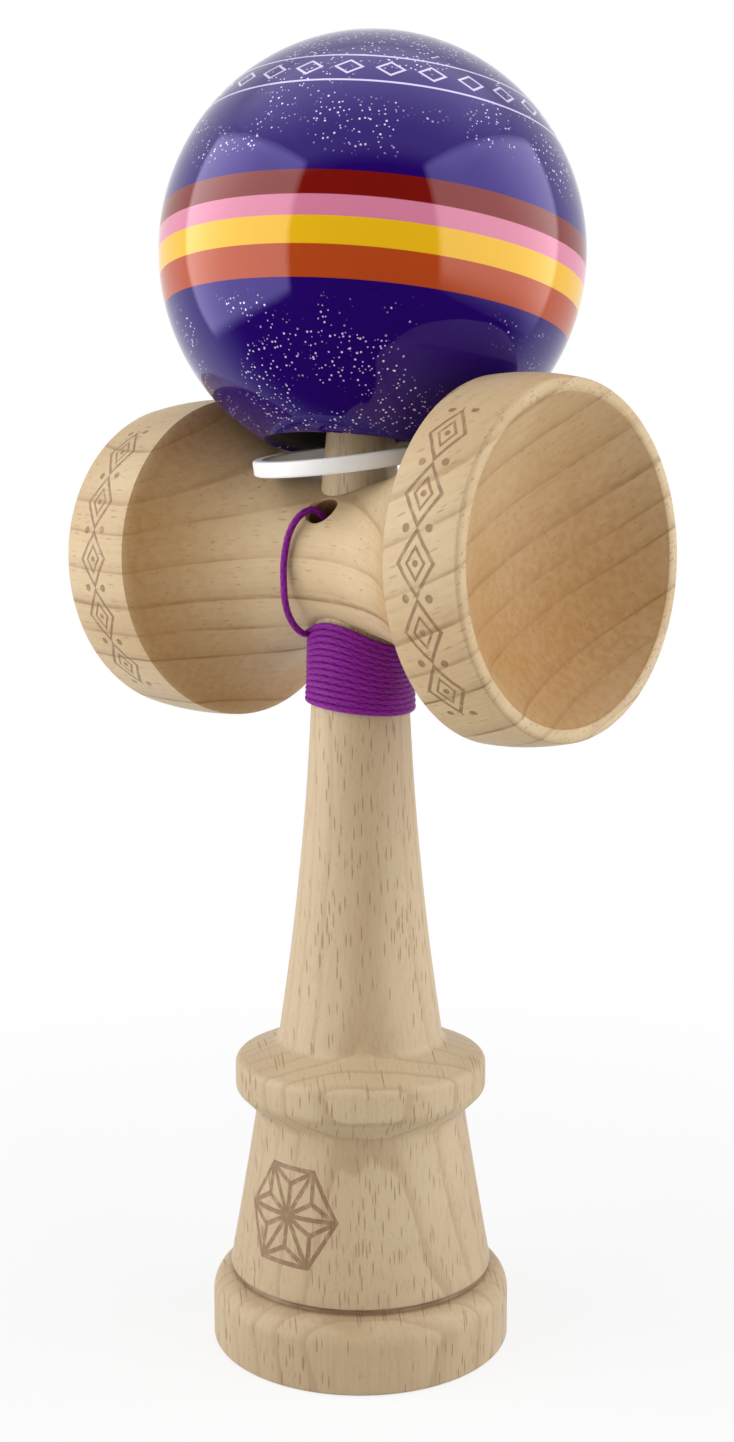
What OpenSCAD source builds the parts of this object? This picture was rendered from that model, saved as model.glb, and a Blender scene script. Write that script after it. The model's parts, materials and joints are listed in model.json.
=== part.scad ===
// Kendama: a turned handle with a spike and a base cup, a crosspiece with a cup at each end,
// a lacquered ball with a bore, a loose spacer ring, and the cord that ties the ball to the handle.
// Sizes are in millimetres. +Z runs up the handle from the middle of its base rim, +X points to
// the big cup, and the cord leaves the crosspiece on the -Y side.

/* [Handle base] */
// Diameter of the base band
base_d = 43.5; // [41:0.5:48]
// Height of the base band
base_h = 10.4; // [9.5:0.1:14]
// Rounding of the band's top edge
base_top_round = 3.8; // [1.5:0.1:5]
// Rounding of the band's lower edge
base_foot_round = 0.5; // [0.3:0.1:2]
// Width of the rim round the base cup
base_rim_w = 3.75; // [2.5:0.25:6]
// Depth of the base cup
base_cup_depth = 8; // [5:0.5:10]
// Height of the burnt line above the band
burn_h = 0.8; // [0.4:0.1:1.4]
// Depth of the burnt line
burn_depth = 0.5; // [0.2:0.1:1]

/* [Handle body] */
// How far the base band stands proud of the body
band_step = 2.6; // [1.5:0.1:4]
// Diameter of the body under the collar
body_top_d = 30.7; // [27:0.1:32]
// Height of the body from the burnt line to the collar
body_h = 22.3; // [17:0.1:25]

/* [Collar] */
// How far the collar stands proud of the body
collar_out = 2.95; // [2.2:0.05:4.5]
// Radius of the cove under the collar
collar_cove = 2.1; // [1:0.1:3]
// Rounding of the collar's lower edge
collar_under_round = 1.7; // [1:0.1:2.5]
// Height of the collar's straight side
collar_side_h = 2.8; // [2:0.1:5]
// Rounding of the collar's upper edge
collar_top_round = 1.4; // [0.4:0.1:1.5]
// Slope of the collar's top, in degrees
collar_slope = 24; // [20:1:40]

/* [Neck and spike] */
// Diameter of the neck where it leaves the collar
neck_root_d = 24.1; // [20:0.1:26]
// Radius of the cove at the neck's root
neck_cove = 1.6; // [0.5:0.1:2]
// How far the neck's side is hollowed
neck_hollow = 1; // [0.2:0.1:1.4]
// Diameter of the neck where it enters the crosspiece
neck_top_d = 13.5; // [12:0.1:14.5]
// Diameter of the spike where it leaves the crosspiece
spike_root_d = 11; // [9.5:0.1:11.8]
// Diameter of the spike's rounded tip
spike_tip_d = 4.8; // [3:0.1:6]
// Length of the spike above the crosspiece
spike_l = 34; // [26:0.5:36]
// Diameter of the hole through the handle for the cord's knot
knot_hole_d = 3.5; // [3.2:0.1:4]
// Height of that hole above the crosspiece's axis
knot_hole_rise = 4.5; // [3.5:0.1:5]

/* [Crosspiece] */
// Height of the crosspiece's axis above the base
axis_h = 114; // [106:1:124]
// Diameter of the waist
waist_d = 21; // [19:0.5:23]
// Diameter of the big cup at its rim
big_rim_d = 46.8; // [44:0.1:50]
// How far the big cup's back edge stands out beyond its rim
big_flare = 0.9; // [0:0.1:2]
// Width of the big cup's lip
big_lip_w = 1.7; // [1.2:0.1:3]
// Distance from the handle's axis to the big cup's back edge
big_back_x = 26.7; // [25:0.1:28]
// Width of the big cup's band
big_band_w = 11.4; // [9:0.1:13]
// Depth of the big cup
big_bowl_depth = 10; // [7:0.5:11]
// Diameter of the small cup at its rim
small_rim_d = 46.6; // [43:0.1:49]
// How far the small cup's back edge stands out beyond its rim
small_flare = 0.5; // [0:0.1:2]
// Width of the small cup's lip
small_lip_w = 2; // [1.2:0.1:3]
// Distance from the handle's axis to the small cup's back edge
small_back_x = 24; // [23:0.1:26]
// Width of the small cup's band
small_band_w = 13.8; // [10:0.1:15]
// Depth of the small cup
small_bowl_depth = 9.5; // [7:0.5:11]
// How far the bands swell between their edges
band_crown = 0.35; // [0:0.05:0.8]
// Rounding of the cups' rims
rim_round = 0.7; // [0.3:0.1:1]
// Diameter of the hole that the cord leaves by
cord_hole_d = 4.6; // [4.2:0.1:5.2]
// Slope of that hole above the level, in degrees
cord_hole_slope = 48; // [44:1:52]
// Width of the chamfer at its mouth
cord_hole_chamfer = 0.5; // [0.2:0.1:0.8]

/* [Ball] */
// Diameter of the ball
ball_d = 60; // [57:0.5:62]
// Diameter of the bore that takes the spike
bore_d = 23.2; // [21:0.2:24]
// Width of the bevel at the bore's mouth
bevel_w = 1.4; // [0.8:0.1:2]
// Depth of the bore from its mouth
bore_depth = 41.5; // [39:0.5:44]
// Diameter of the cord's hole at the top of the ball
ball_hole_d = 3.2; // [2.6:0.1:4]
// Diameter of that hole's countersunk mouth
ball_hole_mouth_d = 7; // [5:0.2:8]
// How far the ball leans back on the spike, in degrees
ball_tilt = 7.3; // [5:0.1:9]
// How far the ball's centre lies behind the handle's axis
ball_back = 2.5; // [1.5:0.1:3]
// Gap between the resting ball and the cup that carries it
ball_gap = 0.35; // [0.3:0.05:0.8]

/* [Spacer ring] */
// Outer diameter of the ring
ring_d = 24.6; // [23.4:0.1:25]
// Thickness of the ring's wall
ring_wall = 1.6; // [1:0.1:2]
// Height of the ring
ring_h = 2.2; // [1.6:0.1:2.6]
// Space left between the ring and the spike's root, behind the spike
ring_slack = 1.2; // [0.8:0.1:3]
// How far the ring leans forward, in degrees
ring_tilt = 9.3; // [7:0.1:11]
// Gap between the ring and the flanks that it rests on
ring_gap = 0.3; // [0.25:0.05:0.6]
// Rounding of the ring's edges
ring_round = 0.35; // [0.1:0.05:0.5]

/* [Bead] */
// Diameter of the bead that holds the cord inside the ball
bead_d = 8; // [6:0.5:10]
// Height of the bead
bead_h = 5.5; // [4:0.5:6.5]
// Diameter of the bead's hole
bead_hole_d = 2.2; // [1.8:0.1:2.8]
// Rounding of the bead's edges
bead_round = 1.6; // [0.8:0.1:2]
// Gap between the bead and the end of the bore
bead_gap = 0.3; // [0.3:0.05:1]

/* [Cord] */
// Diameter of the cord where it runs free
cord_d = 1; // [0.8:0.05:1.1]
// Thickness of the cord where it is pulled tight round the neck
wound_d = 0.66; // [0.5:0.02:0.7]
// Diameter of the knots at the cord's two ends
knot_d = 2.9; // [2.4:0.1:3.1]
// Length of those knots
knot_l = 2.6; // [2:0.1:3]
// Whole turns of the winding
wind_turns = 8; // [5:1:8]
// Gap from the crosspiece's waist down to the winding's first turn
wind_top_gap = 1.3; // [1.3:0.1:3.5]
// Height of the winding, first turn to last
wind_h = 9.9; // [9.9:0.1:14]
// How far the lower turns slant down towards the big cup, per millimetre across
wind_slant = 0.12; // [0:0.01:0.12]

/* [Hidden] */

$fn = 96;
sphere_fn = 180;
arc_steps = 8;
curve_steps = 14;
over = 1;
beech = "#d9bb90";
pale_wood = "#e3c79b";
lacquer = "#3d1a86";
ring_white = "#f4f3f0";
bead_wood = "#cda878";
cord_purple = "#7a1596";

// Widths of the handle
base_cup_d = base_d - 2 * base_rim_w;
body_foot_d = base_d - 2 * band_step;
collar_d = body_top_d + 2 * collar_out;

// Heights along the handle
burn_top = base_h + burn_h;
body_top = burn_top + body_h;
waist_r = waist_d / 2;
neck_top = axis_h - waist_r;
spike_root = axis_h + waist_r;
spike_top = spike_root + spike_l;
knot_z = axis_h + knot_hole_rise;

// The rounding of the band's top edge stops where it meets the burnt line
band_turn = acos(max(1 - (band_step + burn_depth) / base_top_round, 0));

// The cove under the collar and the rounding of its lower edge both turn through this angle
cove_turn = 45;
collar_low = body_top + (collar_cove + collar_under_round) * sin(cove_turn)
    + collar_d / 2 - body_top_d / 2 - (collar_cove + collar_under_round) * (1 - cos(cove_turn));
collar_high = collar_low + collar_side_h;
slope_r = collar_d / 2 - collar_top_round * (1 - sin(collar_slope));
slope_z = collar_high + collar_top_round * cos(collar_slope);
neck_root = slope_z + (slope_r - neck_root_d / 2) * tan(collar_slope);

// The neck's side leans in by this angle at its root
neck_lean = atan(((neck_root_d - neck_top_d) / 2 + 4 * neck_hollow) / (neck_top - neck_root));

// Widths of the cups
big_cup_d = big_rim_d + 2 * big_flare;
big_bowl_d = big_rim_d - 2 * big_lip_w;
small_cup_d = small_rim_d + 2 * small_flare;
small_bowl_d = small_rim_d - 2 * small_lip_w;

// Heights in the ball, from its centre
ball_r = ball_d / 2;
bore_r = bore_d / 2;
mouth_d = bore_d + 2 * bevel_w;
mouth_z = -sqrt(ball_r ^ 2 - (mouth_d / 2) ^ 2);
bevel_top = mouth_z + bevel_w;
bore_end = mouth_z + bore_depth;
ball_top_z = sqrt(ball_r ^ 2 - (ball_hole_mouth_d / 2) ^ 2);
countersink_h = (ball_hole_mouth_d - ball_hole_d) / 2;
bead_top = bore_end - bead_gap;
bead_low = bead_top - bead_h;

// The ring rests on the flanks beside the spike, and hangs forward of it
ring_r = ring_d / 2;
ring_forward = ring_r - ring_wall - spike_root_d / 2 - ring_slack;
ring_rest_z = axis_h + max([for (back = [[big_back_x, big_cup_d], [small_back_x, small_cup_d]])
    sqrt(flank_at(ring_r, back[0], back[1]) ^ 2 - ring_forward ^ 2)]);
ring_z = ring_rest_z + ring_gap + ring_h / 2;

// The ball rests on whichever of the cups, the ring and the spike holds it highest
tip_gap = 0.5;
mouth_y = ball_back + mouth_z * sin(ball_tilt);
ring_edge = [for (a = [0:15:345])
    let (y = ring_r * sin(a), z = ring_h / 2)
    [ring_r * cos(a),
     y * cos(ring_tilt) - z * sin(ring_tilt) - ring_forward,
     y * sin(ring_tilt) + z * cos(ring_tilt) + ring_z + ring_gap]];
ball_z = max(concat(
    [axis_h + ball_over_flank(big_back_x, big_cup_d)],
    [axis_h + ball_over_flank(small_back_x, small_cup_d)],
    [spike_top + tip_gap - (bead_low - knot_l) * cos(ball_tilt)],
    [for (p = ring_edge) if (norm([p[0], p[1] - mouth_y]) > bore_r) ball_over_point(p)]));

// The winding starts at the front left of the neck, runs clockwise seen from above,
// and ends at the back
wind_start_a = 224;
wind_end_a = 110;
wind_steps = 24;
wind_sides = 6;
wind_skin = 0.12;
wind_top = neck_top - wind_top_gap;
wind_sweep = 360 * wind_turns + wind_start_a - wind_end_a;
wind_count = round(wind_sweep * wind_steps / 360);
cord_sides = 8;

// Places along a knot, as shares of its length: its ends, and the ends of its full width
knot_shares = [0, 0.25, 0.75, 1];

// Route of the cord from its knot in the handle, out of the crosspiece and down to the winding,
// given from the crosspiece's axis
lead_route = [[0, -2.6, 4.5], [-0.1, -4.2, 4.7], [-0.3, -5.6, 5.2], [-0.6, -6.9, 6.1],
              [-1, -8.1, 6.9], [-1.6, -9.3, 6.7], [-2.3, -10.4, 5.6], [-3, -11.1, 3.8],
              [-3.4, -11.5, 1.6], [-3.7, -11.6, -0.8], [-3.8, -11.5, -3.2], [-3.9, -11.2, -5.6],
              [-4, -10.4, -7.8], [-4, -9.2, -9.7], [-3.9, -8, -11], [-4, -6.9, -11.6]];

// Route of the cord from the winding up behind the crosspiece to the back of the ball,
// given from the crosspiece's axis
rise_route = [[-0.9, 7.8, -21.3], [0.1, 8.3, -20.4], [0.4, 8.7, -18.8], [0.5, 8.9, -16.5],
              [0.5, 9.1, -14], [0.5, 9.8, -11.5], [0.5, 10.8, -9], [0.5, 11.7, -6.5],
              [0.5, 12.2, -4], [0.5, 12.4, -1.5], [0.5, 12.7, 1], [0.4, 14.4, 3.8],
              [0.3, 16.2, 6.6], [0.2, 18, 9.3], [0.1, 19.8, 12.1], [0, 21.6, 14.9],
              [0, 23.4, 17.7], [0, 25.2, 20.5]];
rise_gap = 0.3;

// The cord turns out of the ball's top hole: height over the ball's skin, degrees from its axis
drape_turn = [[-1.6, 0], [-0.4, 0.2], [0.6, 1.4], [1.1, 3.6], [1.1, 6.5]];
drape_lift = 0.9;
drape_from = 10;
drape_to = 115.6;
drape_count = 22;

// Points of an arc round [c, d], from angle a to angle b
function arc(c, r, a, b) = [for (i = [0:arc_steps])
    let (t = a + (b - a) * i / arc_steps) c + r * [cos(t), sin(t)]];

// Points of a shallow curve from p to q that swells to its right by the given height
function bowed(p, q, swell) =
    let (side = [q[1] - p[1], p[0] - q[0]] / norm(q - p))
    [for (i = [0:curve_steps])
        let (t = i / curve_steps) p + (q - p) * t + side * 4 * swell * t * (1 - t)];

// Radius of the hollow flank between the waist and a cup's back edge
function flank_radius(back_x, cup_d) =
    let (rise = cup_d / 2 - waist_r) (back_x ^ 2 + rise ^ 2) / (2 * rise);
function flank_at(x, back_x, cup_d) =
    let (r = flank_radius(back_x, cup_d)) waist_r + r - sqrt(r ^ 2 - x ^ 2);
function flank(back_x, cup_d) = [for (i = [0:curve_steps])
    let (x = back_x * i / curve_steps) [flank_at(x, back_x, cup_d), x]];

// Radius of the sphere that cuts a bowl of the given opening and depth
function bowl_radius(d, depth) = ((d / 2) ^ 2 + depth ^ 2) / (2 * depth);

// Radius of the neck at a height
function neck_at(z) =
    let (t = (z - neck_root) / (neck_top - neck_root))
    neck_root_d / 2 + (neck_top_d - neck_root_d) / 2 * t - 4 * neck_hollow * t * (1 - t);

// Height of the ball's centre above the crosspiece's axis where it just clears a flank
function ball_over_flank(back_x, cup_d) =
    let (reach = ball_r + ball_gap)
    max([for (i = [0:curve_steps])
        let (x = back_x * i / curve_steps)
        if (x < reach) flank_at(x, back_x, cup_d) + sqrt(reach ^ 2 - x ^ 2)]);

// Height of the ball's centre where a point just clears the ball's skin or its bevelled mouth
function ball_over_point(p) =
    let (back = p[1] - ball_back, wide = norm([p[0], p[1] - mouth_y]) - bore_r)
    min(p[2] + sqrt(max(ball_r ^ 2 - p[0] ^ 2 - back ^ 2, 0)),
        p[2] + (back * sin(ball_tilt) - bevel_top + wide) / cos(ball_tilt));

// A point beside the ball, at a distance from its centre and degrees back from its axis
function beside_ball(reach, back) =
    [0, ball_back + reach * sin(ball_tilt + back), ball_z + reach * cos(ball_tilt + back)];

function unit(v) = v / norm(v);
function heading(path, i) = unit(path[min(i + 1, len(path) - 1)] - path[max(i - 1, 0)]);
function hoop(centre, along, across, r, sides) =
    let (u = unit(cross(along, across)), v = cross(along, u))
    [for (k = [0:sides - 1]) centre + r * (cos(360 * k / sides) * u + sin(360 * k / sides) * v)];

// The winding's centre line, with a straight end of one thickness at each end
wind_turn = [for (i = [0:wind_count])
    let (s = i / wind_count, a = wind_start_a - wind_sweep * s, z = wind_top - wind_h * s,
         r = neck_at(z) + wind_skin + wound_d / 2)
    [r * cos(a), r * sin(a), z - wind_slant * s * r * cos(a)]];
wind_path = concat([wind_turn[0] - wound_d * [sin(wind_start_a), -cos(wind_start_a), 0]],
                   wind_turn,
                   [wind_turn[wind_count] + wound_d * [sin(wind_end_a), -cos(wind_end_a), 0]]);
half_turn = wind_steps / 2;
wind_gap = min([for (i = [0:wind_count - half_turn]) for (j = [i + half_turn:wind_count])
    norm(wind_turn[i] - wind_turn[j])]) - wound_d;
echo(str("least gap of the winding to itself, mm: ", wind_gap));

// Centre lines of the cord's other stretches
to_axis = [0, 0, axis_h];
lead_path = concat([for (t = knot_shares) [0, (0.5 - t) * knot_l, knot_z]],
                   [for (p = lead_route) p + to_axis],
                   [wind_path[0]]);
drape_path = concat([for (t = knot_shares) beside_ball(bead_low - (1 - t) * knot_l, 0)],
                    [beside_ball(bead_top, 0)],
                    [for (t = drape_turn) beside_ball(ball_r + t[0], t[1])],
                    [for (i = [0:drape_count])
                        let (back = drape_from + (drape_to - drape_from) * i / drape_count)
                        beside_ball(ball_r + drape_lift, back)]);
drape_end = drape_path[len(drape_path) - 1];
drape_last = drape_path[len(drape_path) - 2];
rise_path = concat([wind_path[len(wind_path) - 1]], [for (p = rise_route) p + to_axis],
                   [drape_end + unit(drape_end - drape_last) * rise_gap]);

// Radii along each stretch: a knot at the start of two of them, and the cord pulled thin
// where it meets the winding
drape_radii = [for (i = [0:len(drape_path) - 1]) (i == 1 || i == 2) ? knot_d / 2 : cord_d / 2];
lead_radii = [for (i = [0:len(lead_path) - 1])
    i == len(lead_path) - 1 ? wound_d / 2 : (i == 1 || i == 2) ? knot_d / 2 : cord_d / 2];
rise_radii = [for (i = [0:len(rise_path) - 1]) i == 0 ? wound_d / 2 : cord_d / 2];
wind_radii = [for (p = wind_path) wound_d / 2];

// A round tube swept along a path
module tube(path, radii, sides, across) {
    last = len(path) - 1;
    points = [for (i = [0:last]) each hoop(path[i], heading(path, i), across, radii[i], sides)];
    walls = [for (i = [0:last - 1]) for (k = [0:sides - 1])
        let (a = i * sides + k, b = i * sides + (k + 1) % sides)
        each [[a, a + sides, b + sides], [a, b + sides, b]]];
    near_cap = [for (k = [1:sides - 2]) [0, k, k + 1]];
    far = last * sides;
    far_cap = [for (k = [1:sides - 2]) [far, far + k + 1, far + k]];
    polyhedron(points, concat(walls, near_cap, far_cap));
}

module ball_frame() {
    translate([0, ball_back, ball_z]) rotate([-ball_tilt, 0, 0]) children();
}

module bowl(d, depth) {
    r = bowl_radius(d, depth);
    translate([0, 0, depth - r]) sphere(r, $fn = sphere_fn);
}

module ken_profile() {
    base_r = base_d / 2;
    collar_r = collar_d / 2;
    cove_c = [body_top_d / 2 + collar_cove, body_top];
    root_turn = [90 - collar_slope, neck_lean];
    root_mid = (root_turn[0] + root_turn[1]) / 2;
    root_c = [neck_root_d / 2, neck_root]
        + neck_cove / cos(root_turn[0] - root_mid) * [cos(root_mid), sin(root_mid)];
    tip_r = spike_tip_d / 2;
    tip_lean = atan((spike_root_d / 2 - tip_r) / (spike_l - tip_r));
    polygon(concat(
        [[0, 0]],
        arc([base_r - base_foot_round, base_foot_round], base_foot_round, -90, 0),
        arc([base_r - base_top_round, base_h - base_top_round], base_top_round, 0, band_turn),
        [[body_foot_d / 2 - burn_depth, base_h + burn_h / 2], [body_foot_d / 2, burn_top]],
        arc(cove_c, collar_cove, 180, 180 - cove_turn),
        arc([collar_r - collar_under_round, collar_low], collar_under_round, -cove_turn, 0),
        arc([collar_r - collar_top_round, collar_high], collar_top_round, 0, 90 - collar_slope),
        arc(root_c, neck_cove, 180 + root_turn[0], 180 + root_turn[1]),
        [for (i = [1:curve_steps])
            let (z = neck_root + (neck_top - neck_root) * i / curve_steps) [neck_at(z), z]],
        [[spike_root_d / 2, spike_root]],
        arc([0, spike_top - tip_r], tip_r, tip_lean, 90)
    ));
}

// Handle: one turned piece from the base cup to the spike
module ken() {
    color(beech) difference() {
        rotate_extrude() ken_profile();
        bowl(base_cup_d, base_cup_depth);
        translate([0, 0, knot_z]) rotate([90, 0, 0])
            cylinder(h = neck_root_d, d = knot_hole_d, center = true);
    }
}

module cup_profile_half(back_x, cup_d, rim_d, band_w) {
    rim_r = rim_d / 2;
    end_x = back_x + band_w;
    polygon(concat(
        [[0, 0]],
        flank(back_x, cup_d),
        bowed([cup_d / 2, back_x], [rim_r, end_x - rim_round], band_crown),
        arc([rim_r - rim_round, end_x - rim_round], rim_round, 0, 90),
        [[0, end_x]]
    ));
}

// Crosspiece: one turned piece with a cup at each end, wedged on the handle's taper
module crosspiece() {
    taper = (neck_top_d - spike_root_d) / waist_d;
    slack = waist_r / 2;
    color(pale_wood) difference() {
        translate([0, 0, axis_h]) union() {
            rotate([0, 90, 0]) rotate_extrude()
                cup_profile_half(big_back_x, big_cup_d, big_rim_d, big_band_w);
            rotate([0, -90, 0]) rotate_extrude()
                cup_profile_half(small_back_x, small_cup_d, small_rim_d, small_band_w);
        }
        translate([big_back_x + big_band_w, 0, axis_h]) rotate([0, -90, 0])
            bowl(big_bowl_d, big_bowl_depth);
        translate([-small_back_x - small_band_w, 0, axis_h]) rotate([0, 90, 0])
            bowl(small_bowl_d, small_bowl_depth);
        translate([0, 0, neck_top - slack])
            cylinder(h = waist_d + 2 * slack,
                     d1 = neck_top_d + taper * slack,
                     d2 = spike_root_d - taper * slack);
        translate([0, 0, axis_h]) rotate([90 - cord_hole_slope, 0, 0]) {
            cylinder(h = waist_d, d = cord_hole_d);
            translate([0, 0, waist_r - cord_hole_chamfer])
                cylinder(h = waist_r, d1 = cord_hole_d, d2 = cord_hole_d + 2 * waist_r);
        }
    }
}

// Ball: bored for the spike from below and for the cord from above
module ball() {
    color(lacquer) ball_frame() difference() {
        sphere(ball_r, $fn = sphere_fn);
        translate([0, 0, -ball_d]) cylinder(h = ball_d + bore_end, d = bore_d);
        translate([0, 0, mouth_z - over])
            cylinder(h = bevel_w + over, d1 = mouth_d + 2 * over, d2 = bore_d);
        cylinder(h = ball_d, d = ball_hole_d);
        translate([0, 0, ball_top_z - countersink_h])
            cylinder(h = countersink_h + over, d1 = ball_hole_d, d2 = ball_hole_mouth_d + 2 * over);
    }
}

// Spacer ring: hangs loose round the spike, on the flanks and under the ball's mouth
module spacer_ring() {
    low = ring_round - ring_h / 2;
    high = ring_h / 2 - ring_round;
    inner = ring_r - ring_wall + ring_round;
    outer = ring_r - ring_round;
    color(ring_white) translate([0, -ring_forward, ring_z]) rotate([ring_tilt, 0, 0]) rotate_extrude()
        polygon(concat(
            arc([inner, low], ring_round, 180, 270),
            arc([outer, low], ring_round, 270, 360),
            arc([outer, high], ring_round, 0, 90),
            arc([inner, high], ring_round, 90, 180)
        ));
}

// Bead: stops the cord at the inner end of the ball's bore
module bead() {
    hole_r = bead_hole_d / 2;
    round_r = bead_d / 2 - bead_round;
    color(bead_wood) ball_frame() rotate_extrude()
        polygon(concat(
            [[hole_r, bead_low]],
            arc([round_r, bead_low + bead_round], bead_round, 270, 360),
            arc([round_r, bead_top - bead_round], bead_round, 0, 90),
            [[hole_r, bead_top]]
        ));
}

// Cord from its knot in the handle to the winding
module string_lead() {
    color(cord_purple) tube(lead_path, lead_radii, cord_sides, [1, 0, 0]);
}

// Cord wound round the neck
module string_winding() {
    color(cord_purple) tube(wind_path, wind_radii, wind_sides, [0, 0, 1]);
}

// Cord from the winding to the back of the ball
module string_rise() {
    color(cord_purple) tube(rise_path, rise_radii, cord_sides, [1, 0, 0]);
}

// Cord from its knot under the bead, out of the ball's top and down its back
module string_drape() {
    color(cord_purple) tube(drape_path, drape_radii, cord_sides, [1, 0, 0]);
}

ken();
crosspiece();
ball();
spacer_ring();
bead();
string_lead();
string_winding();
string_rise();
string_drape();
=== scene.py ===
# %% [markdown]
# # Dressing a kendama
# A kendama is a turned wooden toy: a handle with a spike, a crosspiece with two cups, a lacquered
# ball, a loose ring and one cord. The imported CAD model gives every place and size, so we load it
# first and keep it as a fixed frame. Each piece below is then made again with the fine roundings,
# grain, lacquer and braid that the solids leave out, and takes the solid's place.

# %% Load the frame
import json
import math

import bpy
from mathutils import Matrix, Vector


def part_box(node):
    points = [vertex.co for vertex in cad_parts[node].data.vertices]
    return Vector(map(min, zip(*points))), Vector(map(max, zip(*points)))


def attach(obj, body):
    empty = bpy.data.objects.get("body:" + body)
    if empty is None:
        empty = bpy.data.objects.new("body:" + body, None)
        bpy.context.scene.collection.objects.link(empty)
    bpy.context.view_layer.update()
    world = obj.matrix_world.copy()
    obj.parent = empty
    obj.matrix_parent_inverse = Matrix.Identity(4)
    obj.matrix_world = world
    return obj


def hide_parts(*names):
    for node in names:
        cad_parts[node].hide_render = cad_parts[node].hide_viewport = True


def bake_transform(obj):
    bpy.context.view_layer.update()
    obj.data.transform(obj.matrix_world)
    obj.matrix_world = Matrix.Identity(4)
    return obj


MM = 0.001
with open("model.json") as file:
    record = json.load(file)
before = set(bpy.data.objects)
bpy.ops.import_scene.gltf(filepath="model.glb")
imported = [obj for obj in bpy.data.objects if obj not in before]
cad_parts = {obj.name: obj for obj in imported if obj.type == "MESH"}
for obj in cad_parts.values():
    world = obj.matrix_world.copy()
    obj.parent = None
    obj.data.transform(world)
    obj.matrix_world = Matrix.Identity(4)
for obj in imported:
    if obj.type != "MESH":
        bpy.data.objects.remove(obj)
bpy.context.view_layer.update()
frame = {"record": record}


def box_mm(node):
    """Lowest and highest corner of a CAD node, in millimetres."""
    low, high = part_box(node)
    return Vector(low) / MM, Vector(high) / MM


# %% [markdown]
# ## Camera
# The photograph was taken from close by, a little above the handle's middle. A pinhole camera was
# fitted to the outlines of the toy: how far it stands from the handle's axis, how high, and where
# it looks. Blender's sensor width belongs to the longer side of the image, here its height.

# %% Set up the camera
PHOTO_H = 1442
FOCAL_PX = 1731.6
SENSOR = 36.0
camera_turn = math.radians(43.707)
camera_reach = 247.861 * MM
camera_height = 117.171 * MM
camera_pitch = math.radians(6.066)
camera_yaw = math.radians(-0.217)

to_camera = Vector((math.sin(camera_turn), -math.cos(camera_turn), 0))
to_right = Vector((math.cos(camera_turn), math.sin(camera_turn), 0))
bpy.ops.object.camera_add(
    location=to_camera * camera_reach + Vector((0, 0, camera_height)),
    rotation=(math.pi / 2 - camera_pitch, 0, camera_turn + camera_yaw),
)
camera = bpy.context.object
camera.data.sensor_width = SENSOR
camera.data.lens = SENSOR * FOCAL_PX / PHOTO_H
bpy.context.scene.camera = camera
print(f"camera lens {camera.data.lens:.2f} mm at {tuple(round(v, 3) for v in camera.location)}")

# %% [markdown]
# ## The cord's way
# One cord ties the ball to the handle. It starts at a knot inside the handle, leaves the crosspiece
# by its slanting hole, hangs in a loose bow, goes thirteen times round the neck, climbs behind the
# crosspiece, lies down the ball's back, and goes through the ball's top hole to a bead. The route's
# points are the CAD route's points, raised a little just before the winding.

# %% Places along the cord
axis_h = (box_mm("crosspiece")[0].z + box_mm("crosspiece")[1].z) / 2
ball_r = (box_mm("ball")[1].x - box_mm("ball")[0].x) / 2
ball_back = 2.5
ball_centre = Vector((0, ball_back, box_mm("ball")[1].z - ball_r))
ball_tilt = math.radians(7.3)
ball_axis = Vector((0, math.sin(ball_tilt), math.cos(ball_tilt)))
bead_low, bead_top = 8.66, 14.16
knot_l, knot_d, knot_rise = 2.6, 2.9, 4.5
cord_d, wound_d = 0.97, 0.90

neck_root, neck_top = 44.516, 103.5
neck_root_r, neck_top_r, neck_hollow = 12.05, 6.75, 1.0
wind_top, wind_h, wind_slant, wind_crown = 102.1, 8.9, 0.15, 3.5
wind_start, wind_end, whole_turns, turn_steps = 224, 110, 13, 36

lead_route = [
    (0, -2.6, 4.5), (-0.1, -4.2, 4.7), (-0.3, -5.6, 5.2), (-0.6, -6.9, 6.1), (-1, -8.1, 6.9),
    (-1.6, -9.3, 6.7), (-2.3, -10.4, 5.6), (-3, -11.1, 3.8), (-3.4, -11.5, 1.6), (-3.7, -11.6, -0.8),
    (-3.8, -11.5, -3.2), (-3.9, -11.2, -5.6), (-4, -10.4, -7.7), (-4, -9.2, -9.3), (-4, -8, -10.2),
    (-4.3, -6.8, -10.5),
]
rise_route = [
    (-0.9, 7.8, -21.3), (0.1, 8.3, -20.4), (0.4, 8.7, -18.8), (0.5, 8.9, -16.5), (0.5, 9.1, -14),
    (0.5, 9.8, -11.5), (0.5, 10.8, -9), (0.5, 11.7, -6.5), (0.5, 12.2, -4), (0.5, 12.4, -1.5),
    (0.5, 12.7, 1), (0.4, 14.4, 3.8), (0.3, 16.2, 6.6), (0.2, 18, 9.3), (0.1, 19.8, 12.1),
    (0, 21.6, 14.9), (0, 23.4, 17.7), (0, 25.2, 20.5),
]
drape_turn = [(-1.6, 0), (-0.4, 0.2), (0.6, 1.4), (1.1, 3.6), (1.1, 6.5)]
drape_lift, drape_from, drape_to, drape_count = 0.9, 10, 115.6, 22
print(f"cord of {cord_d} mm, ball of {2 * ball_r:.1f} mm")

# %% [markdown]
# The winding is a formula: a spiral that follows the hollow neck. Its first turns rise at the front
# and the back, and its last turns lean to one side. Over the ball the cord follows an arc.

# %% Lay out the cord's way


def neck_at(z):
    """Radius of the neck at a height."""
    t = (z - neck_root) / (neck_top - neck_root)
    return neck_root_r + (neck_top_r - neck_root_r) * t - 4 * neck_hollow * t * (1 - t)


def beside_ball(reach, back):
    """A point at a distance from the ball's centre, some degrees back from the ball's axis."""
    a = ball_tilt + math.radians(back)
    return ball_centre + Vector((0, reach * math.sin(a), reach * math.cos(a)))


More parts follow.
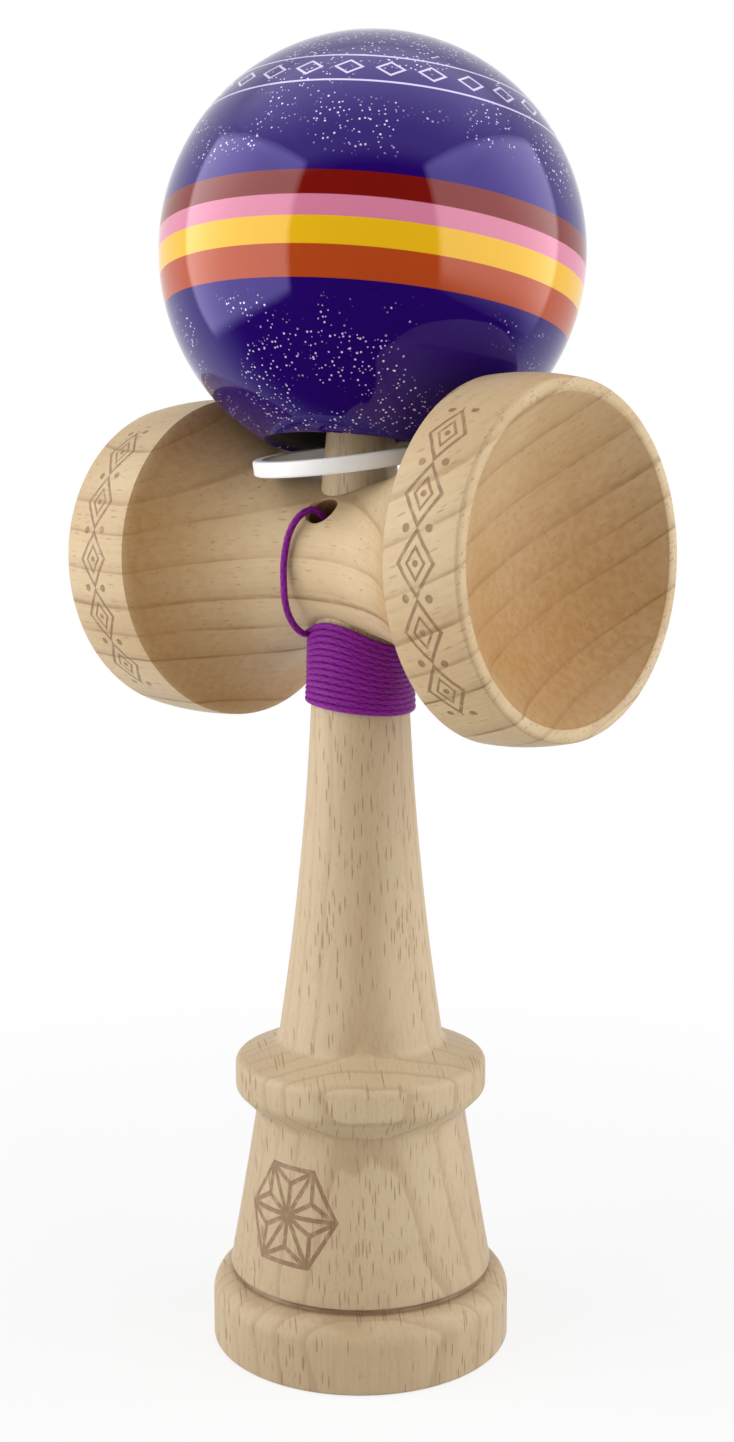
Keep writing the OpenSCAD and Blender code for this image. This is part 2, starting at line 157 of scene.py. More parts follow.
def winding():
    """Points of the turns round the neck, from the front left down to the back."""
    sweep = 360 * whole_turns + wind_start - wind_end
    count = round(sweep * turn_steps / 360)
    points = []
    for i in range(count + 1):
        s = i / count
        a = math.radians(wind_start - sweep * s)
        z = wind_top - wind_h * s
        r = neck_at(z) + wound_d / 2
        z += wind_crown * (1 - s) * math.sin(a) ** 2 - wind_slant * s * r * math.cos(a)
        points.append(Vector((r * math.cos(a), r * math.sin(a), z)))
    return points


to_axis = Vector((0, 0, axis_h))
knot_ends = [Vector((0, (0.5 - t) * knot_l, axis_h + knot_rise)) for t in (0, 0.5, 1)]
turns = winding()
drape_backs = [drape_to - (drape_to - drape_from) * i / drape_count for i in range(drape_count + 1)]
drape = [beside_ball(ball_r + drape_lift, back) for back in drape_backs]
drape += [beside_ball(ball_r + h, back) for h, back in reversed(drape_turn)]
drape += [beside_ball(bead_top, 0), beside_ball(bead_low, 0), beside_ball(bead_low - knot_l, 0)]
stretches = [
    (knot_ends + [Vector(p) + to_axis for p in lead_route], cord_d / 2),
    (turns, wound_d / 2),
    ([Vector(p) + to_axis for p in rise_route] + drape, cord_d / 2),
]
print("points on the cord's way:", [len(points) for points, _ in stretches])

# %% [markdown]
# A cord has no corners, so a smooth curve is laid through the points. It is then walked in even
# steps, so that the braid has the same stitch all along.

# %% Smooth the cord's way
CURVE_PARTS = 10


def smooth_way(points):
    """Points on a Catmull-Rom curve through (place, radius) pairs."""
    way = []
    for i in range(len(points) - 1):
        p0, p3 = points[max(i - 1, 0)][0], points[min(i + 2, len(points) - 1)][0]
        (p1, r1), (p2, r2) = points[i], points[i + 1]
        square, cube = 2 * p0 - 5 * p1 + 4 * p2 - p3, 3 * p1 - p0 - 3 * p2 + p3
        for k in range(CURVE_PARTS):
            t = k / CURVE_PARTS
            place = 0.5 * (2 * p1 + (p2 - p0) * t + square * t ** 2 + cube * t ** 3)
            way.append((place, r1 + (r2 - r1) * t))
    return way + [points[-1]]


def even_steps(way, step):
    """The same curve in steps of one length, with the distance walked at each."""
    walked = [0.0]
    for a, b in zip(way, way[1:]):
        walked.append(walked[-1] + (b[0] - a[0]).length)
    count = round(walked[-1] / step)
    out, j = [], 0
    for i in range(count + 1):
        s = walked[-1] * i / count
        while j < len(walked) - 2 and walked[j + 1] < s:
            j += 1
        t = (s - walked[j]) / max(walked[j + 1] - walked[j], 1e-9)
        a, b = way[j], way[j + 1]
        out.append((a[0].lerp(b[0], t), a[1] + (b[1] - a[1]) * t, s))
    return out


cord_way = smooth_way([(p, r) for points, r in stretches for p in points])
print("points on the smooth way:", len(cord_way))

# %% [markdown]
# Each step gets a hoop of points, and the hoop's frame is carried from step to step without
# twisting. The hoops swell and shrink a little in a chequer, which is how the strands of a braid
# stand up, and they swell much more in the two knots. A bevelled curve would be quicker to make, but
# it keeps one round section all along.

# %% A braided tube
STITCH = 0.9
CORD_STEP = STITCH / 3
CORD_SIDES = 16
BRAID_STRANDS = 4
BRAID_RELIEF = 0.03
KNOT_CORE, KNOT_LOBES = 0.88, 0.14


def knot_swell(s, length):
    """How far a knot at either end of the cord swells it, from 0 to 1."""
    near_end = min(s, length - s) / knot_l
    return math.sin(math.pi * near_end) ** 0.6 if 0 < near_end < 1 else 0.0


def braided_tube(name, steps):
    """A closed tube along the steps, with the braid's relief and a UV map in millimetres along it."""
    length = steps[-1][2]
    side = Vector((1, 0, 0))
    verts, faces, stitches = [], [], []
    for i, (place, r, s) in enumerate(steps):
        ahead = steps[min(i + 1, len(steps) - 1)][0] - steps[max(i - 1, 0)][0]
        ahead.normalize()
        side = (side - ahead * side.dot(ahead)).normalized()
        other = ahead.cross(side)
        knot = knot_swell(s, length)
        for k in range(CORD_SIDES):
            a = math.tau * k / CORD_SIDES
            relief = BRAID_RELIEF * math.cos(BRAID_STRANDS * a) * math.cos(math.tau * s / STITCH)
            lobes = KNOT_LOBES * math.cos(3 * a + math.tau * s / knot_l)
            reach = r * (1 + relief) + knot * (knot_d / 2 * (KNOT_CORE + lobes) - r)
            verts.append((place + (side * math.cos(a) + other * math.sin(a)) * reach) * MM)
        if i:
            for k in range(CORD_SIDES):
                a, b = (i - 1) * CORD_SIDES + k, (i - 1) * CORD_SIDES + (k + 1) % CORD_SIDES
                faces.append((a, b, b + CORD_SIDES, a + CORD_SIDES))
                low, high = steps[i - 1][2], s
                u, w = k / CORD_SIDES, (k + 1) / CORD_SIDES
                stitches += [(u, low), (w, low), (w, high), (u, high)]
    last = (len(steps) - 1) * CORD_SIDES
    faces += [tuple(range(CORD_SIDES - 1, -1, -1)), tuple(range(last, last + CORD_SIDES))]
    stitches += [(0, 0)] * CORD_SIDES + [(0, length)] * CORD_SIDES
    mesh = bpy.data.meshes.new(name)
    mesh.from_pydata(verts, [], faces)
    uv = mesh.uv_layers.new(name="braid")
    for corner, place in zip(uv.data, stitches):
        corner.uv = place
    mesh.polygons.foreach_set("use_smooth", [True] * len(mesh.polygons))
    piece = bpy.data.objects.new(name, mesh)
    bpy.context.collection.objects.link(piece)
    return piece


cord_steps = even_steps(cord_way, CORD_STEP)
cord_length = cord_steps[-1][2]
print(f"cord in {len(cord_steps)} hoops, {cord_length:.0f} mm long")

# %% [markdown]
# The cord is made as one tube along its whole way, and it takes the place of the CAD model's four
# cord pieces.

# %% Make the cord
cord = braided_tube("cord", cord_steps)
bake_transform(cord)
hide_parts("string_lead", "string_winding", "string_rise", "string_drape")
round(cord_length * MM, 3)
[tuple(p * MM) for p, _, _ in cord_steps[::2]]
print(f"cord: {len(cord.data.polygons)} faces")

# %% [markdown]
# ## The lathe
# The handle, the crosspiece, the ball, the ring and the bead are all turned on a lathe, and Blender
# has one too: an outline in the XZ plane, drawn by extruding a single vertex from point to point,
# is spun round Z. Doubles at the seam and at the poles are merged and the normals recalculated,
# because a spin can leave the shell inside out.

# %% A lathe for outlines
SPIN_STEPS = 192
SHARP = math.radians(28)
WELD = 2e-7


def arc(centre, r, first, last, parts=10):
    """Points of an arc, from one angle to another in degrees."""
    angles = [math.radians(first + (last - first) * i / parts) for i in range(parts + 1)]
    return [(centre[0] + r * math.cos(a), centre[1] + r * math.sin(a)) for a in angles]


def bowed(p, q, swell, parts=24):
    """Points of a shallow curve from p to q that swells outwards from the axis."""
    shares = [i / parts for i in range(parts + 1)]
    return [(p[0] + (q[0] - p[0]) * t + 4 * swell * t * (1 - t), p[1] + (q[1] - p[1]) * t) for t in shares]


def turned(name, outline, place=None, closed=False):
    """Spin an outline of (radius, height) points, in millimetres, round Z, then put it in its place."""
    outline = outline + outline[:1] if closed else outline
    bpy.ops.mesh.primitive_plane_add(size=MM)
    piece = bpy.context.object
    piece.name = name
    bpy.ops.object.mode_set(mode="EDIT")
    bpy.ops.mesh.select_all(action="SELECT")
    bpy.ops.mesh.merge(type="CENTER")
    bpy.ops.transform.translate(value=(outline[0][0] * MM, 0, outline[0][1] * MM))
    for (r, z), (next_r, next_z) in zip(outline, outline[1:]):
        move = ((next_r - r) * MM, 0, (next_z - z) * MM)
        bpy.ops.mesh.extrude_vertices_move(TRANSFORM_OT_translate={"value": move})
    bpy.ops.mesh.select_all(action="SELECT")
    bpy.ops.mesh.spin(steps=SPIN_STEPS, angle=math.tau, center=(0, 0, 0), axis=(0, 0, 1))
    bpy.ops.mesh.select_all(action="SELECT")
    bpy.ops.mesh.remove_doubles(threshold=WELD)
    bpy.ops.mesh.normals_make_consistent(inside=False)
    bpy.ops.object.mode_set(mode="OBJECT")
    if place is not None:
        piece.matrix_world = place
        bpy.ops.object.transform_apply(location=True, rotation=True, scale=True)
    bpy.ops.object.shade_smooth_by_angle(angle=SHARP)
    print(f"{name}: {len(piece.data.polygons)} faces")
    return piece


print("lathe:", SPIN_STEPS, "steps a turn")

# %% [markdown]
# Holes that go across a turned piece are cut with a Boolean, as a drill would. A finished piece then
# takes the place of its CAD solid, and moves with the same body.

# %% A drill, and a change of places


def bore(piece, cutter):
    """Cut one mesh out of another with a Boolean, and throw the cutter away."""
    bpy.ops.object.select_all(action="DESELECT")
    bpy.context.view_layer.objects.active = piece
    piece.select_set(True)
    bpy.ops.object.modifier_add(type="BOOLEAN")
    cut = piece.modifiers[-1]
    cut.operation = "DIFFERENCE"
    cut.solver = "EXACT"
    cut.object = cutter
    bpy.ops.object.modifier_apply(modifier=cut.name)
    bpy.data.objects.remove(cutter, do_unlink=True)
    bpy.ops.object.shade_smooth_by_angle(angle=SHARP)


def stand_in(piece, node):
    """Let a finished piece take a CAD node's place on the node's body."""
    body = next(b for b, nodes in frame["record"]["behaviour"]["bodies"].items() if node in nodes)
    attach(piece, body)
    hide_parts(node)
    print(f"{piece.name} takes the place of {node}, on {body}")


# %% [markdown]
# ## Handle
# The handle, or ken, is one piece of beech. From below: a shallow cup in the foot, a band, a burnt
# line, the body, a collar with a cove under it, the hollow neck, the taper that the crosspiece is
# wedged on, and the spike. The outline follows the CAD sizes with finer arcs.

# %% Turn the handle
ken_low, ken_high = box_mm("ken")
base_r = (ken_high.x - ken_low.x) / 2
base_h, base_top_round, base_foot_round = 10.4, 3.8, 0.5
base_cup_r, base_cup_depth = 18.0, 8.0
burn_h, burn_depth = 0.8, 0.5
body_foot_r, body_top_r, body_h = 19.15, 15.35, 22.3
collar_r, collar_cove, collar_under, collar_side, collar_round = 18.3, 2.1, 1.7, 2.8, 1.4
collar_slope, cove_turn = 24, 45
neck_cove = 1.6
spike_root, spike_root_r, spike_tip_r = 124.5, 5.5, 2.4

burn_top = base_h + burn_h
body_top = burn_top + body_h
turn = math.radians(cove_turn)
collar_low = (body_top + (collar_cove + collar_under) * math.sin(turn) + collar_r - body_top_r
              - (collar_cove + collar_under) * (1 - math.cos(turn)))
collar_high = collar_low + collar_side
neck_lean = math.degrees(math.atan((neck_root_r - neck_top_r + 4 * neck_hollow) / (neck_top - neck_root)))
root_first = 90 - collar_slope
root_mid = math.radians((root_first + neck_lean) / 2)
root_reach = neck_cove / math.cos(math.radians(root_first) - root_mid)
root_centre = (neck_root_r + root_reach * math.cos(root_mid), neck_root + root_reach * math.sin(root_mid))
spike_top = ken_high.z
tip_lean = math.degrees(math.atan((spike_root_r - spike_tip_r) / (spike_top - spike_root - spike_tip_r)))

cup_r = (base_cup_r ** 2 + base_cup_depth ** 2) / (2 * base_cup_depth)
cup_edge = math.degrees(math.asin((cup_r - base_cup_depth) / cup_r))
neck_heights = [neck_root + 1 + (neck_top - neck_root - 1) * i / 40 for i in range(41)]
ken_outline = (
    arc((0, base_cup_depth - cup_r), cup_r, 90, cup_edge, 30)
    + arc((base_r - base_foot_round, base_foot_round), base_foot_round, -90, 0)
    + arc((base_r - base_top_round, base_h - base_top_round), base_top_round, 0, 79, 14)
    + arc((body_foot_r - 0.1, base_h + burn_h / 2), burn_depth, 240, 120, 8)
    + bowed((body_foot_r, burn_top), (body_top_r, body_top), -0.08, 8)
    + arc((body_top_r + collar_cove, body_top), collar_cove, 180, 180 - cove_turn)
    + arc((collar_r - collar_under, collar_low), collar_under, -cove_turn, 0)
    + arc((collar_r - collar_round, collar_high), collar_round, 0, root_first)
    + arc(root_centre, neck_cove, 180 + root_first, 180 + neck_lean)
    + [(neck_at(z), z) for z in neck_heights[1:]]
    + [(spike_root_r, spike_root)]
    + arc((0, spike_top - spike_tip_r), spike_tip_r, tip_lean, 90, 16)
)
ken = turned("ken", ken_outline)

# %% [markdown]
# The cord's knot lies in a hole across the taper. The slanting hole, by which the cord comes out
# through the crosspiece, goes on into the handle, so that the knot's hole can be reached.

# %% Drill the handle
knot_hole_r, knot_hole_sides = 1.75, 48
bpy.ops.mesh.primitive_cylinder_add(
    vertices=knot_hole_sides, radius=knot_hole_r * MM, depth=2 * neck_root_r * MM,
    location=(0, 0, (axis_h + knot_rise) * MM), rotation=(math.pi / 2, 0, 0))
bore(ken, bpy.context.object)

hole_r, hole_slope, hole_chamfer, hole_floor = 2.3, math.radians(42), 0.4, 4.5
hole_place = Matrix.Translation((0, 0, axis_h * MM)) @ Matrix.Rotation(math.pi / 2 - hole_slope, 4, "X")
inner_hole = [(0, hole_floor), (hole_r, hole_floor), (hole_r, neck_root_r), (0, neck_root_r)]
bore(ken, turned("handle_hole_cutter", inner_hole, place=hole_place))
stand_in(ken, "ken")

# %% [markdown]
# ## Crosspiece
# The crosspiece lies across the handle, so its outline is spun round Z like the others and then
# laid along X. Both cups are shallow bowls with a thin rounded lip, the bands swell a little between
# their edges, and hollow flanks run down to the waist.

# %% Turn the crosspiece
waist_r, rim_round, band_crown, edge_break = 10.5, 0.7, 0.35, 0.25
cross_low, cross_high = box_mm("crosspiece")
big = {"end": cross_high.x, "back": 26.7, "cup": 24.3, "rim": 23.4, "bowl": 21.7, "deep": 10.0}
small = {"end": -cross_low.x, "back": 24.0, "cup": 23.8, "rim": 23.3, "bowl": 21.3, "deep": 9.5}


def cup_outline(cup):
    """Outline of one half of the crosspiece, from the middle of its bowl to the waist."""
    end, rim, back = cup["end"], cup["rim"], cup["back"]
    bowl_r = (cup["bowl"] ** 2 + cup["deep"] ** 2) / (2 * cup["deep"])
    mouth = math.degrees(math.asin(cup["bowl"] / bowl_r))
    points = arc((0, end + bowl_r - cup["deep"]), bowl_r, -90, -90 + mouth - 0.6, 44)
    lip = cup["bowl"] + 0.3
    points += [(lip - 0.12, end - 0.06), (lip + 0.1, end)]
    points += arc((rim - rim_round, end - rim_round), rim_round, 90, 0, 8)
    points += bowed((rim, end - rim_round), (cup["cup"], back + edge_break), band_crown)
    rise = cup["cup"] - waist_r
    flank_r = (back ** 2 + rise ** 2) / (2 * rise)
    shares = [1 - i / 48 for i in range(49)]
    flank = [(waist_r + flank_r - math.sqrt(flank_r ** 2 - (back * t) ** 2), back * t) for t in shares]
    return points + [(flank[0][0] - edge_break, flank[0][1] - 0.02)] + flank[1:]


lying = Matrix.Translation((0, 0, axis_h * MM)) @ Matrix.Rotation(math.pi / 2, 4, "Y")
cross_outline = cup_outline(big) + [(r, -x) for r, x in reversed(cup_outline(small)[:-1])]
crosspiece = turned("crosspiece", cross_outline, place=lying)

# %% [markdown]
# The taper for the handle is bored straight through. The hole for the cord slants into the waist,
# and its mouth is chamfered, because a sharp edge would fray the cord.

# %% Drill the crosspiece
taper = (neck_top_r - spike_root_r) / (2 * waist_r)
slack = waist_r / 2
bpy.ops.mesh.primitive_cone_add(
    vertices=128, radius1=(neck_top_r + taper * slack) * MM, radius2=(spike_root_r - taper * slack) * MM,
    depth=2 * (waist_r + slack) * MM, location=(0, 0, axis_h * MM))
bore(crosspiece, bpy.context.object)

hole_profile = [(0, 0), (hole_r, 0), (hole_r, waist_r - hole_chamfer)]
hole_profile += [(hole_r + 2 * waist_r, 3 * waist_r - hole_chamfer), (0, 3 * waist_r - hole_chamfer)]
bore(crosspiece, turned("cord_hole_cutter", hole_profile, place=hole_place))
stand_in(crosspiece, "crosspiece")

# %% [markdown]
# ## Ball, ring and bead
# The ball's outline goes round the bore, the bevelled mouth, the skin and the countersunk hole at
# the top, so that one spin makes a closed shell. It sits leaning on the spike, and so it is made
# upright, leaned over and moved to its centre.

# %% Turn the ball
bore_r, bevel_w, bore_depth, bore_round = 11.6, 1.4, 41.5, 0.5
top_hole_r, top_mouth_r = 1.6, 3.5
top_lip, sink_low, sink_foot = 29.68, 28.05, 27.8
mouth_r = bore_r + bevel_w
mouth_z = -math.sqrt(ball_r ** 2 - mouth_r ** 2)
bore_end = mouth_z + bore_depth
skin_first = math.degrees(math.asin(mouth_z / ball_r)) + 0.8
skin_last = math.degrees(math.acos(top_mouth_r / ball_r)) - 0.5
ball_outline = (
    [(top_hole_r, bore_end), (bore_r - bore_round, bore_end)]
    + arc((bore_r - bore_round, bore_end - bore_round), bore_round, 90, 0, 5)
    + [(bore_r, mouth_z + bevel_w + 0.2), (bore_r + 0.15, mouth_z + bevel_w - 0.15)]
    + [(mouth_r - 0.25, mouth_z + 0.25), (mouth_r + 0.05, mouth_z + 0.06)]
    + arc((0, 0), ball_r, skin_first, skin_last, 150)
    + [(top_mouth_r - 0.15, top_lip), (top_hole_r + 0.2, sink_low), (top_hole_r, sink_foot)]
)


def leaning(centre, axis):
    """Place for a piece made round Z: its middle at a point, its axis along a direction."""
    return Matrix.Translation(centre) @ Vector((0, 0, 1)).rotation_difference(axis).to_matrix().to_4x4()


ball_place = leaning(ball_centre * MM, ball_axis)
ball = turned("ball", ball_outline, place=ball_place, closed=True)
stand_in(ball, "ball")

# %% [markdown]
# The ring lies loose on the crosspiece, leaning towards the front. The bead is inside the ball, where
# the cord's knot pulls it against the end of the bore. Both are small closed outlines with rounded
# corners, and are spun in the same way.

# %% Turn the ring and the bead


def rounded(inner, outer, low, high, hole_round, side_round, hole_parts, side_parts):
    """Closed outline of a ring, with one rounding at its hole and one outside."""
    near, far = inner + hole_round, outer - side_round
    return (
        arc((near, low + hole_round), hole_round, 180, 270, hole_parts)
        + arc((far, low + side_round), side_round, 270, 360, side_parts)
        + arc((far, high - side_round), side_round, 0, 90, side_parts)
        + arc((near, high - hole_round), hole_round, 90, 180, hole_parts)
    )


ring_r, ring_wall, ring_h, ring_round = 12.3, 1.6, 2.2, 0.4
ring_tilt = math.radians(9.3)
ring_centre = Vector((0, -4.0, 128.097))
ring_outline = rounded(ring_r - ring_wall, ring_r, -ring_h / 2, ring_h / 2, ring_round, ring_round, 8, 8)
ring_axis = Vector((0, -math.sin(ring_tilt), math.cos(ring_tilt)))
ring = turned("spacer_ring", ring_outline, place=leaning(ring_centre * MM, ring_axis), closed=True)
stand_in(ring, "spacer_ring")

bead_r, bead_hole_r, bead_round, bead_lip = 4.0, 1.1, 1.6, 0.3
bead_outline = rounded(bead_hole_r, bead_r, bead_low, bead_top, bead_lip, bead_round, 4, 10)
bead = turned("bead", bead_outline, place=ball_place, closed=True)
stand_in(bead, "bead")

# %% [markdown]
# ## Finishes, written as formulas
# Every finish here is a pattern in space: growth rings cut by the lathe, stripes painted at one
# height of the ball, dots and burnt lines. Such patterns are easiest to read as arithmetic, so a
# small class stands for one value in a node tree. Each sign or word in the table adds a Math node.

# %% Values in a node tree
MATH_NODES = {
    "__add__": "ADD", "__radd__": "ADD", "__sub__": "SUBTRACT", "__mul__": "MULTIPLY", "__rmul__": "MULTIPLY",
    "__truediv__": "DIVIDE", "__pow__": "POWER", "__abs__": "ABSOLUTE", "least": "MINIMUM", "most": "MAXIMUM",
}


class Value:
    """One number in a material's node tree, ready for arithmetic."""

    def __init__(self, tree, socket):
        self.tree, self.socket = tree, socket

    def calc(self, operation, *others):
        node = add_node(self.tree, "Math", enumerate((self, *others)), operation=operation)
        return Value(self.tree, node.outputs[0])

    def __rsub__(self, other):
        return self.calc("MULTIPLY_ADD", -1.0, other)

    def fade(self, first, last, start=0.0, end=1.0):
        """Go smoothly from start to end while this value goes from first to last."""
        inputs = enumerate((self, first, last, start, end))
        node = add_node(self.tree, "MapRange", inputs, interpolation_type="SMOOTHSTEP")
        return Value(self.tree, node.outputs[0])

    def under(self, edge, soft):
        """1 where this value is below an edge, 0 above it."""
        return self.fade(edge - soft / 2, edge + soft / 2, 1.0, 0.0)


def math_node(operation):
    """A method that adds one Math node."""
    return lambda value, *others: value.calc(operation, *others)


for method, operation in MATH_NODES.items():
    setattr(Value, method, math_node(operation))


def feed(tree, slot, value):
    """Set an input, or link it to a value or a node's output."""
    if isinstance(value, Value):
        tree.links.new(value.socket, slot)
    elif isinstance(value, bpy.types.NodeSocket):
        tree.links.new(value, slot)
    else:
        slot.default_value = value


def add_node(tree, kind, inputs=(), **settings):
    """Add a shader node with its settings, and feed its inputs."""
    node = tree.nodes.new("ShaderNode" + kind)
    for key, value in settings.items():
        setattr(node, key, value)
    for slot, value in dict(inputs).items():
        feed(tree, node.inputs[slot], value)
    return node


print(len(MATH_NODES), "ways to join values")

# %% [markdown]
# A finish is one material. It gives places on the piece in millimetres, has a short call for each
# texture used here, and at the end dresses the piece.

# %% Finishes


class Finish:
    """A material and the calls that build its pattern."""

    def __init__(self, name, roughness, specular):
        self.material = bpy.data.materials.new(name)
        self.material.use_nodes = True
        self.tree = self.material.node_tree
        self.shader = self.tree.nodes["Principled BSDF"]
        self.shader.inputs["Roughness"].default_value = roughness
        self.shader.inputs["Specular IOR Level"].default_value = specular

    def node(self, kind, inputs=(), **settings):
        return add_node(self.tree, kind, inputs, **settings)

    def places(self, centre=(0, 0, 0), turn=(0, 0, 0)):
        """Object coordinates in millimetres, from a centre and turned."""
        here = self.node("TexCoord").outputs["Object"]
        mapped = self.node("Mapping", {
            "Vector": here, "Location": [c * MM for c in centre], "Rotation": turn, "Scale": (MM, MM, MM)},
            vector_type="TEXTURE")
        return self.parts(mapped.outputs[0])

    def parts(self, vector):
        split = self.node("SeparateXYZ", {0: vector})
        return [Value(self.tree, split.outputs[i]) for i in range(3)]

    def point(self, x, y, z):
        return self.node("CombineXYZ", {0: x, 1: y, 2: z}).outputs[0]

    def noise(self, x, y, z, detail):
        node = self.node("TexNoise", {"Vector": self.point(x, y, z), "Scale": 1.0, "Detail": detail})
        return Value(self.tree, node.outputs[0])

    def cells(self, x, y, z):
        """Distance to the nearest of many scattered points, and a number that is that point's own."""
        node = self.node("TexVoronoi", {"Vector": self.point(x, y, z), "Scale": 1.0})
        own = self.node("SeparateColor", {0: node.outputs["Color"]})
        return Value(self.tree, node.outputs["Distance"]), Value(self.tree, own.outputs[0])

    def chance(self, value):
        node = self.node("TexWhiteNoise", {"W": value}, noise_dimensions="1D")
        return Value(self.tree, node.outputs["Value"])

    def mix(self, share, first, second):
        return self.node("Mix", {0: share, 6: first, 7: second}, data_type="RGBA").outputs[2]

    def done(self, piece, colour, roughness=None, height=None):
        """Join the pattern to the shader, with a height in millimetres for the bump, and dress a piece."""
        feed(self.tree, self.shader.inputs["Base Color"], colour)
        if roughness is not None:
            feed(self.tree, self.shader.inputs["Roughness"], roughness)
        if height is not None:
            bump = self.node("Bump", {"Height": height, "Distance": MM, "Strength": 1.0})
            feed(self.tree, self.shader.inputs["Normal"], bump.outputs[0])
        piece.data.materials.clear()
        piece.data.materials.append(self.material)
        print(f"{self.material.name}: {len(self.tree.nodes)} nodes, on {piece.name}")


def rgb(red, green, blue):
    return (red, green, blue, 1.0)


print("textures: noise, cells, chance and mix")

# %% [markdown]
# ## Beech for the handle
# A handle is cut from a board, so the heart of the tree lies outside it. Rings round that far heart,
# cut by a lathe, give the arches on the neck and the map-like lines on the collar. Beech also shows
# its rays as short dark dashes along the grain: thin sheets that point at the heart, a millimetre or
# two tall.

# %% Grow the beech
BEECH_PALE, BEECH_WARM = rgb(0.54, 0.415, 0.264), rgb(0.487, 0.362, 0.22)
BEECH_LINE, BEECH_RAY = rgb(0.29, 0.175, 0.082), rgb(0.23, 0.13, 0.058)
heart_reach, heart_lean, heart_warp, ring_gap = 62.0, 0.09, 5.0, 2.6

wood = Finish("beech", 0.5, 0.4)
heart_turn = math.radians(-38)
x, y, z = wood.places(turn=(0, 0, heart_turn))
warp = wood.noise(x * 0.06, y * 0.06, z * 0.018, 2.0) - 0.5
from_heart = ((x + heart_reach + z * heart_lean) ** 2 + y ** 2) ** 0.5 + warp * heart_warp
ring_place = from_heart / ring_gap
ring_share = ring_place.calc("FRACT")
ring_own = wood.chance(ring_place.calc("FLOOR"))
ring_edge = (ring_share.fade(0.45, 0.95) ** 3.0) * ring_share.fade(0.96, 1.0, 1.0, 0.0)
ring_line = ring_edge * (0.35 + ring_own * 0.65)

ray, ray_own = wood.cells(x * 0.10, y * 2.6, z * 0.24)
rays = ray.under(0.25, 0.14) * ray_own.fade(0.15, 0.65)
fine_ray, fine_own = wood.cells(x * 0.2 + 7.3, y * 4.2, z * 0.8)
fine_rays = fine_ray.under(0.22, 0.2) * fine_own.fade(0.2, 1.0)
fibre = wood.noise(x * 2.6, y * 2.6, z * 0.07, 3.0)
tone = wood.noise(x * 0.07, y * 0.07, z * 0.03, 1.0)

pale = wood.mix(tone.fade(0.3, 0.7), BEECH_PALE, BEECH_WARM)
shade = ring_line * 0.42 + fibre.fade(0.42, 0.75) * 0.16
grained = wood.mix(shade, pale, BEECH_LINE)
flecked = wood.mix(rays * 0.62 + fine_rays * 0.34, grained, BEECH_RAY)
print(f"beech: growth rings {ring_gap} mm apart, the heart {heart_reach:.0f} mm away")

# %% [markdown]
# The body carries one burnt six-pointed hemp-leaf star, a traditional pattern. It is worked out in a
# flat patch of the body: round the handle in one direction and up in the other. Folding the patch
# into one twelfth of a hexagon turns a few straight lines into a star.

# %% Burn the star
# This burnt colour also paints the shade inside the handle's cord hole.
BURNT_AND_HOLE_SHADE = rgb(0.20, 0.095, 0.042)
star_turn = math.radians(-83)
star_z, star_r, star_stroke = 22.6, 7.6, 0.62
star_body_r, body_slant = body_foot_r - 2.0, 1.015

wx, wy, wz = wood.places()
round_turn = wy.calc("ARCTAN2", wx)
across = (round_turn - star_turn) * star_body_r
up = (wz - star_z) * body_slant
reach = (across ** 2 + up ** 2) ** 0.5
spoke = up.calc("ARCTAN2", across)
sixth = math.tau / 6
folded = abs((spoke / sixth + 0.5).calc("FRACT") - 0.5) * sixth
fx, fy = reach * folded.calc("COSINE"), reach * folded.calc("SINE")
cos30, sin30 = math.cos(math.pi / 6), 0.5
inside = (fx * cos30 + fy * sin30) - star_r * cos30
edge_line = abs(inside)
spoke_line = abs(fy)
heart_line = abs(fy * cos30 - fx * sin30) + (reach - star_r / math.sqrt(3)).most(0.0)
leaf_line = abs((fx - star_r) * sin30 + fy * cos30) + (star_r / 2 - fx).most(0.0)
nearest = edge_line.least(spoke_line).least(heart_line).least(leaf_line)
stroke = nearest.under(star_stroke / 2, 0.16) * inside.under(star_stroke / 2, 0.1)
on_body = wz.fade(burn_top, burn_top + 0.5) * wz.fade(body_top - 0.5, body_top, 1.0, 0.0)
scorch = wood.noise(wx * 0.9, wy * 0.9, wz * 0.9, 3.0)
star = stroke * on_body * scorch.fade(0.25, 0.55, 0.45, 1.0)
print(f"star of {2 * star_r} mm at a height of {star_z} mm")

# %% [markdown]
# The line above the band was burnt in with a wire while the lathe turned, so it is uneven and has a
# brown haze beside it. The inside of the cord's hole gets a painted shade in the same colour as the
# burnt places, so that it looks deep. The bump sinks the rays, the rings and the star.

# %% Burn the line and dress the handle


def from_hole(x, y, z):
    """Distance from the axis of the cord's hole, with z from the crosspiece's middle."""
    return ((y * math.sin(hole_slope) + z * math.cos(hole_slope)) ** 2 + x ** 2) ** 0.5


line_noise = wood.noise(wx * 0.16, wy * 0.16, wz * 0.5, 2.0)
burn_line = abs(wz - (base_h + 0.35)).fade(0.25, 0.75, 1.0, 0.0) * line_noise.fade(0.3, 0.62, 0.45, 1.0)
beside_line = abs(wz - (base_h - 0.1)).fade(0.2, 2.6, 1.0, 0.0)
burn_haze = beside_line * line_noise.fade(0.35, 0.7) * 0.32
# Painted shade: the handle's wood inside the cord's hole is coloured dark, so that the hole looks deep.
hole_shade = from_hole(wx, wy, wz - axis_h).under(hole_r + 0.1, 0.2) * wy.under(-1.0, 0.5)
burns_and_hole_shade = (star * 0.80).most(burn_line * 0.85).most(burn_haze).most(hole_shade)
coloured = wood.mix(burns_and_hole_shade, flecked, BURNT_AND_HOLE_SHADE)
grain_height = fibre * 0.02 - rays * 0.025 - ring_line * 0.01 - star * 0.09
wood.done(ken, coloured, roughness=0.42 + fibre * 0.14, height=grain_height)

